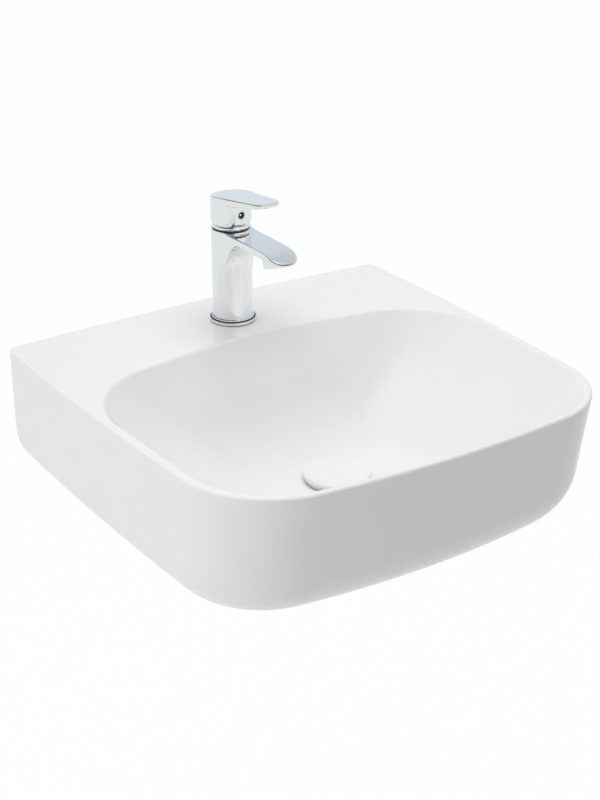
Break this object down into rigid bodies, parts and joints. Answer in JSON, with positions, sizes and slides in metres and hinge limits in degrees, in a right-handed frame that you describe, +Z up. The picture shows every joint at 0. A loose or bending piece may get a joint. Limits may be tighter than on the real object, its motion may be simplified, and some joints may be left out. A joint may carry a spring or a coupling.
{
  "type": "wall-hung washbasin",
  "caption": "Wall-hung white ceramic washbasin with a scooped bowl, a crowned rear deck, a single-lever mixer tap and a push-to-open waste with a ceramic cap.",
  "frame": {"origin": "on the wall plane, midway between the two wall bolt holes", "axes": "+Z up, +Y into the wall, +X to the right of someone who stands at the basin"},
  "size_m": [0.47, 0.4652, 0.3554],
  "materials": {
    "glazed_ceramic": "white gloss glaze",
    "chrome": "polished",
    "brass": "machined",
    "steel": "zinc plated and stainless",
    "rubber": "matt moulded",
    "pale_plastic": "moulded",
    "dark_plastic": "moulded",
    "alumina": "lapped"
  },
  "bodies": {
    "basin_set": {"basin": "glazed_ceramic", "tap_body": "chrome", "tap_foot_ring": "chrome", "neck_ring": "chrome", "aerator_housing": "chrome", "waste_body": "chrome", "cartridge_nut": "brass", "click_barrel": "brass", "tap_stud": "steel", "clamp_plate": "steel", "clamp_nut": "steel", "click_spring": "steel", "tap_gasket": "rubber", "clamp_seal": "rubber", "cartridge_port_seals": "rubber", "aerator_seal": "rubber", "flange_seal": "rubber", "taper_washer": "rubber", "cartridge_shell": "pale_plastic", "cartridge_port_plate": "pale_plastic", "aerator_insert": "pale_plastic", "slip_washer": "pale_plastic", "waste_nut": "dark_plastic", "fixed_disc": "alumina"},
    "rotor": {"cartridge_rotor": "pale_plastic", "pivot_pin": "steel"},
    "lever": {"lever_stem": "steel", "handle": "chrome", "handle_screw": "steel", "handle_plug": "chrome"},
    "valve": {"moving_disc": "alumina", "disc_carrier": "pale_plastic"},
    "plug": {"plunger": "brass", "plug_seal": "rubber", "plug_holder": "chrome", "plug_cap": "glazed_ceramic"}
  },
  "joints": [
    {"name": "handle_turn", "type": "hinge", "parent": "basin_set", "child": "rotor", "pos_m": [0, -0.0692, 0.1464], "axis": [0, 0, 1], "range_deg": [-50, 50]},
    {"name": "handle_lift", "type": "hinge", "parent": "rotor", "child": "lever", "pos_m": [0, -0.0692, 0.1464], "axis": [-1, 0, 0], "range_deg": [0, 22]},
    {"name": "disc_slide", "type": "slide", "parent": "rotor", "child": "valve", "axis": [0, -1, 0], "range_m": [0, 0.0042]},
    {"name": "plug_lift", "type": "slide", "parent": "basin_set", "child": "plug", "axis": [0, 0, 1], "range_m": [0, 0.008], "deforming": ["click_spring"]}
  ],
  "couplings": [
    {"joint": "disc_slide", "follows": "handle_lift", "m_per_rad": 0.0102}
  ]
}
